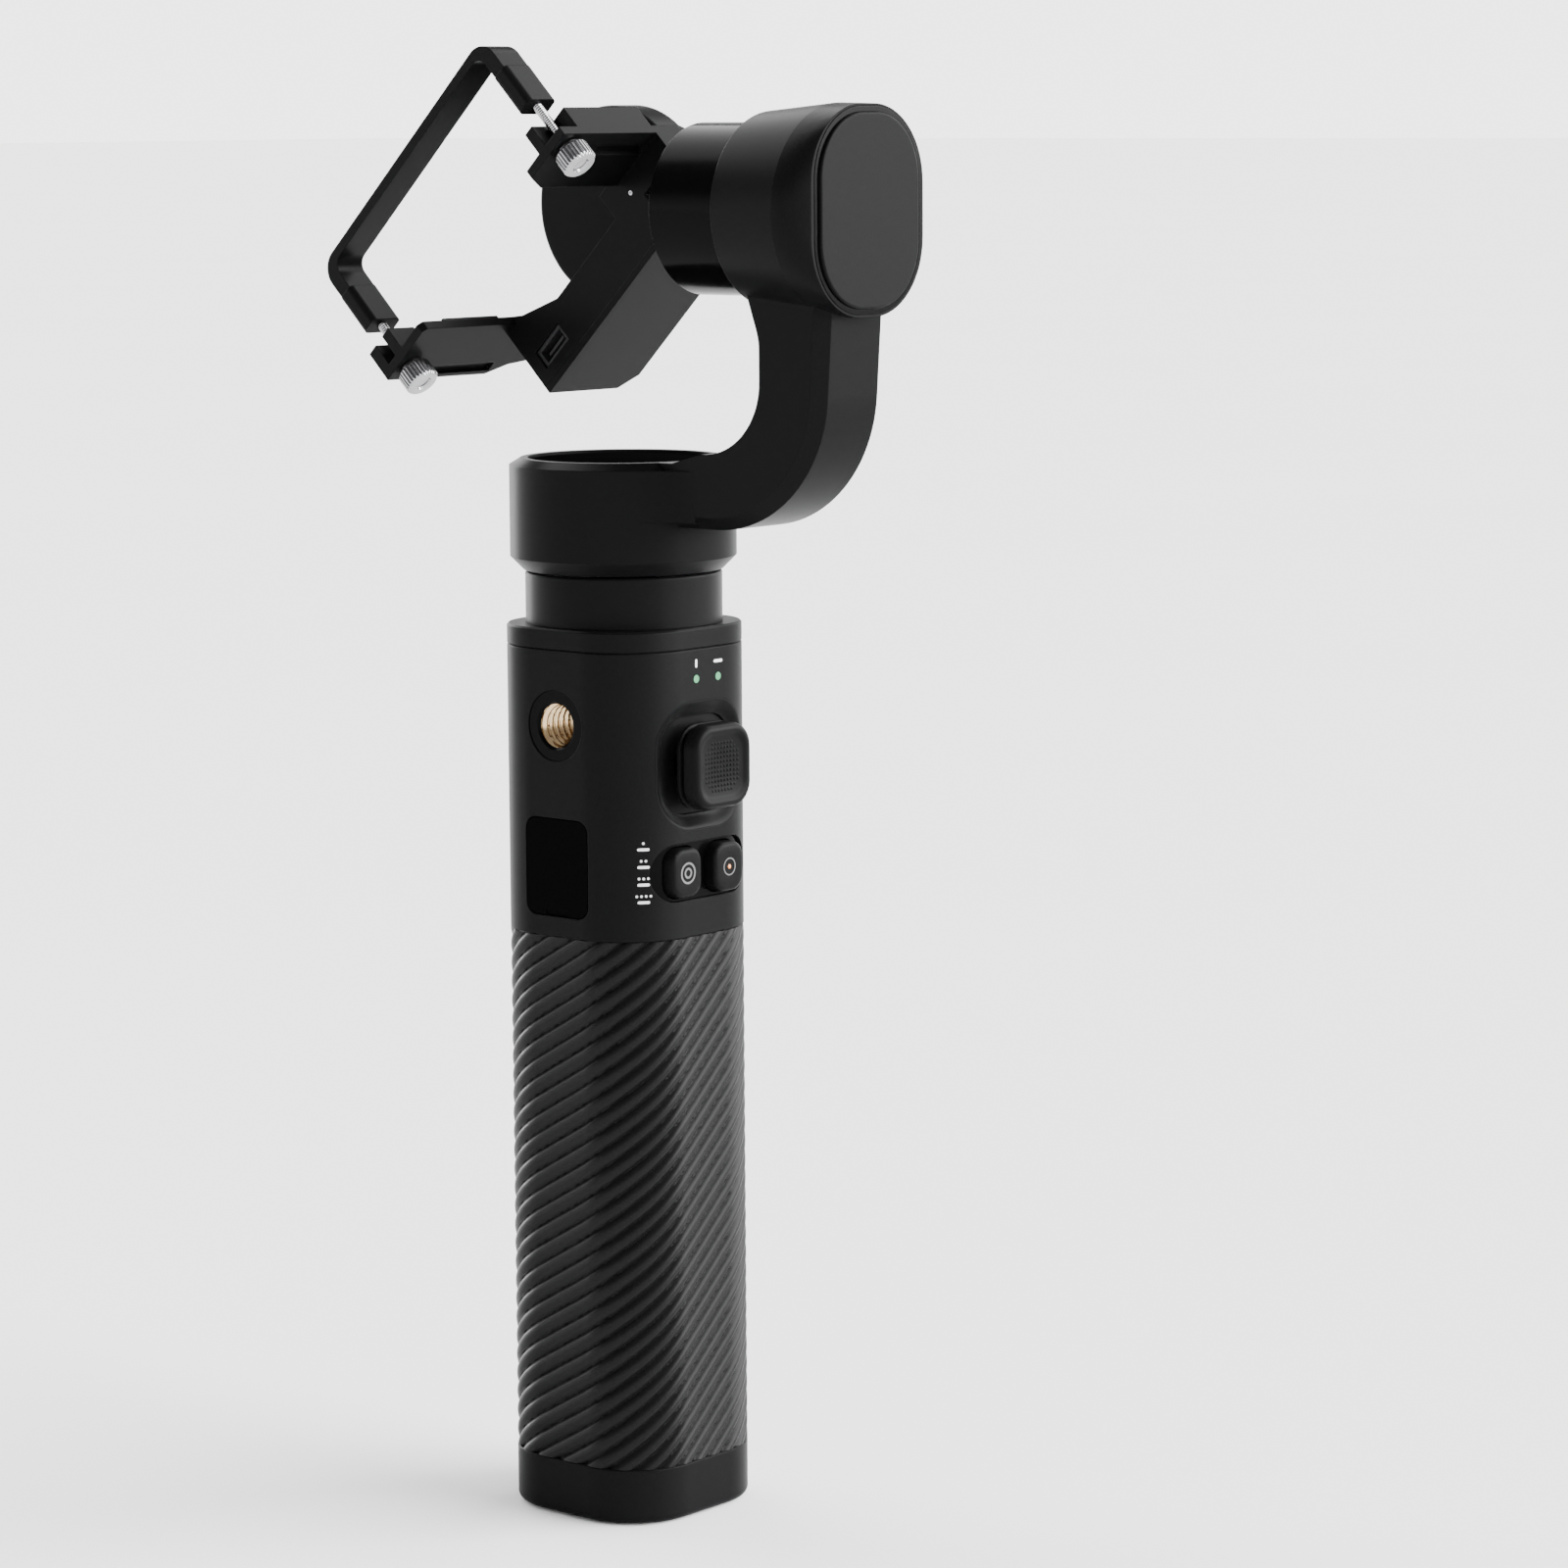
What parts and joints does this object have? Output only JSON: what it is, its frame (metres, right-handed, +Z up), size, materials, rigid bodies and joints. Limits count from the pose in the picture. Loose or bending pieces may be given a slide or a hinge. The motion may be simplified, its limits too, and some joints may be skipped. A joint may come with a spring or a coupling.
{
  "type": "gimbal_stabilizer",
  "caption": "Handheld gimbal stabilizer: ribbed grip, joystick and buttons, yaw, roll and tilt motors in line, and a tilted clamp that holds an action camera",
  "frame": {"origin": "centre of the handle's base, on the tripod thread's axis and in the plane that the base stands on", "axes": "+Z up the handle; the joystick faces -Y; the side thread and the port door face -X"},
  "size_m": [0.0719, 0.1238, 0.2968],
  "materials": {
    "satin_black": "satin moulded plastic",
    "soft_black": "soft-touch plastic",
    "gloss_black": "gloss plastic",
    "anodised_black": "black anodised",
    "grip_rubber": "ribbed rubber",
    "inner_plastic": "moulded plastic",
    "brass_insert": "turned brass",
    "steel": "bright steel",
    "knurled_steel": "knurled nickel plate",
    "board_green": "coated circuit board",
    "cell_wrap": "shrink wrap",
    "lamp_green": "clear lamp",
    "copper_windings": "enamelled copper on laminations"
  },
  "bodies": {
    "handle": {"base_cap": "satin_black", "tripod_insert": "brass_insert", "grip_core": "inner_plastic", "grip_sleeve": "grip_rubber", "battery_cell": "cell_wrap", "battery_holder": "inner_plastic", "control_housing": "satin_black", "port_door_pin": "steel", "side_thread_insert": "brass_insert", "side_thread_ring": "gloss_black", "port_board": "board_green", "usb_port": "steel", "main_board": "board_green", "board_screws": "steel", "tact_switches": "inner_plastic", "status_lamps": "lamp_green", "joystick_dish": "satin_black", "joystick_base": "inner_plastic", "button_bezel": "gloss_black", "top_ring": "satin_black", "neck_housing": "anodised_black", "yaw_stator": "copper_windings", "yaw_bearings": "steel", "yaw_encoder": "board_green"},
    "port_flap": {"port_door": "soft_black"},
    "joystick_rocker": {"joystick_ring": "inner_plastic"},
    "joystick": {"joystick_cap": "satin_black"},
    "mode_key": {"mode_button": "satin_black"},
    "power_key": {"power_button": "satin_black"},
    "yaw_frame": {"yaw_arm": "anodised_black", "yaw_top_cover": "soft_black", "roll_trim_ring": "gloss_black", "roll_end_cap": "satin_black", "yaw_rotor": "steel", "yaw_shaft": "steel", "roll_stator": "copper_windings", "roll_bearings": "steel", "roll_encoder": "board_green"},
    "roll_frame": {"roll_drum": "gloss_black", "roll_rotor": "steel", "roll_shaft": "steel", "tilt_arm": "anodised_black", "tilt_end_cap": "satin_black", "tilt_arm_screws": "steel", "tilt_stator": "copper_windings", "tilt_bearings": "steel", "tilt_encoder": "board_green"},
    "camera_mount": {"camera_bracket": "anodised_black", "bracket_cover": "satin_black", "tilt_disc": "anodised_black", "tilt_rotor": "steel", "tilt_shaft": "steel", "motion_sensor_board": "board_green", "camera_port": "inner_plastic", "grip_pads": "grip_rubber", "bracket_screws": "steel"},
    "clamp": {"clamp_bar": "anodised_black"},
    "upper_screw": {"thumbscrew_upper": "knurled_steel"},
    "lower_screw": {"thumbscrew_lower": "knurled_steel"}
  },
  "joints": [
    {"name": "port_door_hinge", "type": "hinge", "parent": "handle", "child": "port_flap", "pos_m": [-0.02, 0, 0.141], "axis": [0, 1, 0], "range_deg": [0, 90]},
    {"name": "joystick_tilt", "type": "hinge", "parent": "handle", "child": "joystick_rocker", "pos_m": [0, -0.014, 0.1542], "axis": [1, 0, 0], "range_deg": [-9, 9], "stiffness_Nm_per_rad": 0.02},
    {"name": "joystick_pan", "type": "hinge", "parent": "joystick_rocker", "child": "joystick", "pos_m": [0, -0.014, 0.1542], "axis": [0, 0, 1], "range_deg": [-9, 9], "stiffness_Nm_per_rad": 0.02},
    {"name": "mode_press", "type": "slide", "parent": "handle", "child": "mode_key", "axis": [0, 1, 0], "range_m": [0, 0.0008], "stiffness_N_per_m": 300},
    {"name": "power_press", "type": "slide", "parent": "handle", "child": "power_key", "axis": [0, 1, 0], "range_m": [0, 0.0008], "stiffness_N_per_m": 300},
    {"name": "yaw", "type": "hinge", "parent": "handle", "child": "yaw_frame", "pos_m": [0, 0, 0.2], "axis": [0, 0, 1], "range_deg": [-300, 300]},
    {"name": "roll", "type": "hinge", "parent": "yaw_frame", "child": "roll_frame", "pos_m": [0, -0.035, 0.26483], "axis": [0, 1, 0], "range_deg": [-160, 160]},
    {"name": "tilt", "type": "hinge", "parent": "roll_frame", "child": "camera_mount", "pos_m": [0.034, 0.027, 0.26483], "axis": [1, 0, 0], "range_deg": [-205, 115]},
    {"name": "clamp_slide", "type": "slide", "parent": "camera_mount", "child": "clamp", "axis": [0, 0.7071, 0.7071], "range_m": [-0.003, 0.006]},
    {"name": "upper_screw_turn", "type": "hinge", "parent": "camera_mount", "child": "upper_screw", "pos_m": [-0.0204, -0.0063, 0.27551], "axis": [0, 0.7071, 0.7071], "range_deg": [-4320, 2160]},
    {"name": "lower_screw_turn", "type": "hinge", "parent": "camera_mount", "child": "lower_screw", "pos_m": [-0.0204, 0.03768, 0.23153], "axis": [0, 0.7071, 0.7071], "range_deg": [-4320, 2160]}
  ],
  "couplings": [
    {"joint": "upper_screw_turn", "follows": "clamp_slide", "rad_per_m": -12566},
    {"joint": "lower_screw_turn", "follows": "clamp_slide", "rad_per_m": -12566}
  ]
}
